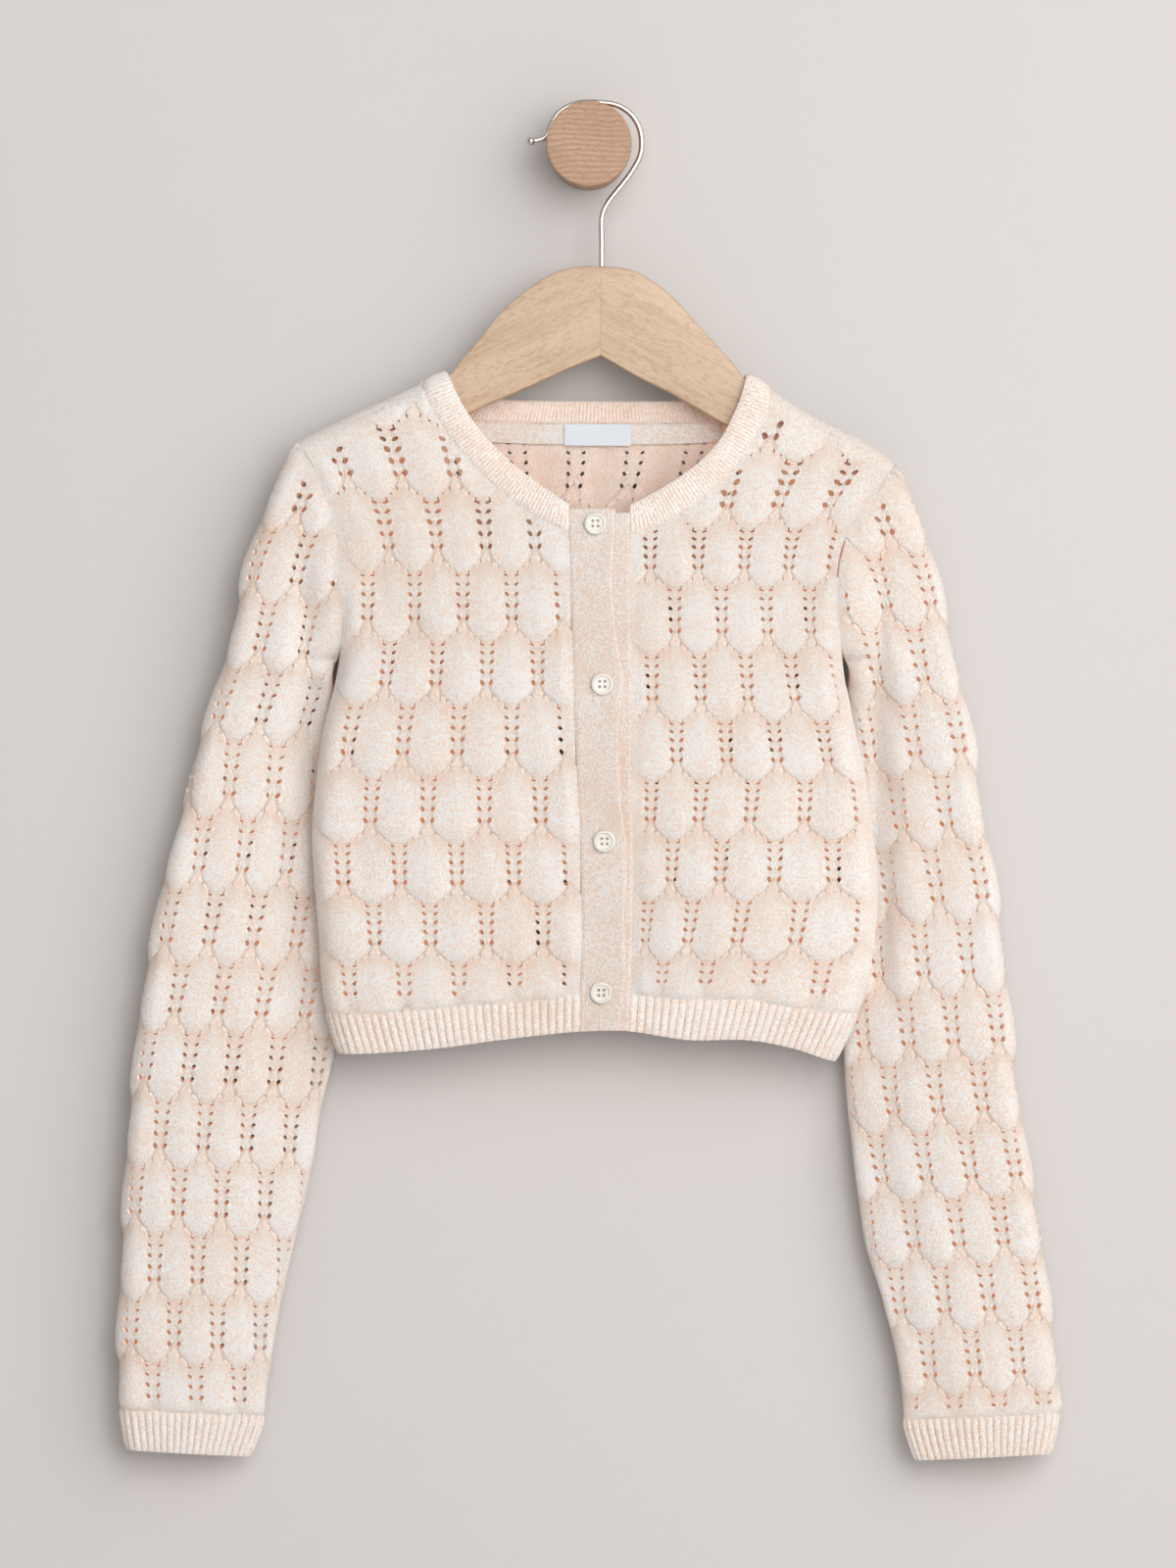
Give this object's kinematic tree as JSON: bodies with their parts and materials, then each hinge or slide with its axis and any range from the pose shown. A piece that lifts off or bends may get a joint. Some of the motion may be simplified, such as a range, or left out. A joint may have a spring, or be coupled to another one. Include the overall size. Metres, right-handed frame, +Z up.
{
  "type": "knit shrug on a hanger",
  "caption": "Cropped long-sleeved lace-knit shrug buttoned down the front, with ribbed neckband, hem and cuffs, on a wooden hanger hooked over a round wall peg.",
  "frame": {"origin": "centre of the wall peg's flat back face, where it meets the wall", "axes": "+Z up, +Y into the wall, -Y towards the viewer; the wearer's right is -X"},
  "size_m": [0.4844, 0.0564, 0.6973],
  "materials": {
    "yarn": "brushed marl lace knit",
    "rib_yarn": "brushed marl rib knit",
    "tape": "plain knitted tape",
    "satin": "blank white satin ribbon",
    "ivory": "matte ivory resin",
    "beech": "clear-lacquered beech",
    "peg_wood": "oiled beech, sawn across",
    "steel": "satin steel wire"
  },
  "bodies": {
    "root": {"front_right": "yarn", "front_left": "yarn", "back": "yarn", "sleeve_right": "yarn", "sleeve_left": "yarn", "cuff_right": "rib_yarn", "cuff_left": "rib_yarn", "hem_front_right": "rib_yarn", "hem_front_left": "rib_yarn", "hem_back": "rib_yarn", "neckband": "rib_yarn", "placket_right": "rib_yarn", "placket_left": "rib_yarn", "neck_tape": "tape", "label": "satin", "button_1": "ivory", "button_2": "ivory", "button_3": "ivory", "button_4": "ivory", "hanger_arm_right": "beech", "hanger_arm_left": "beech", "hook": "steel", "wall_peg": "peg_wood"}
  },
  "joints": []
}
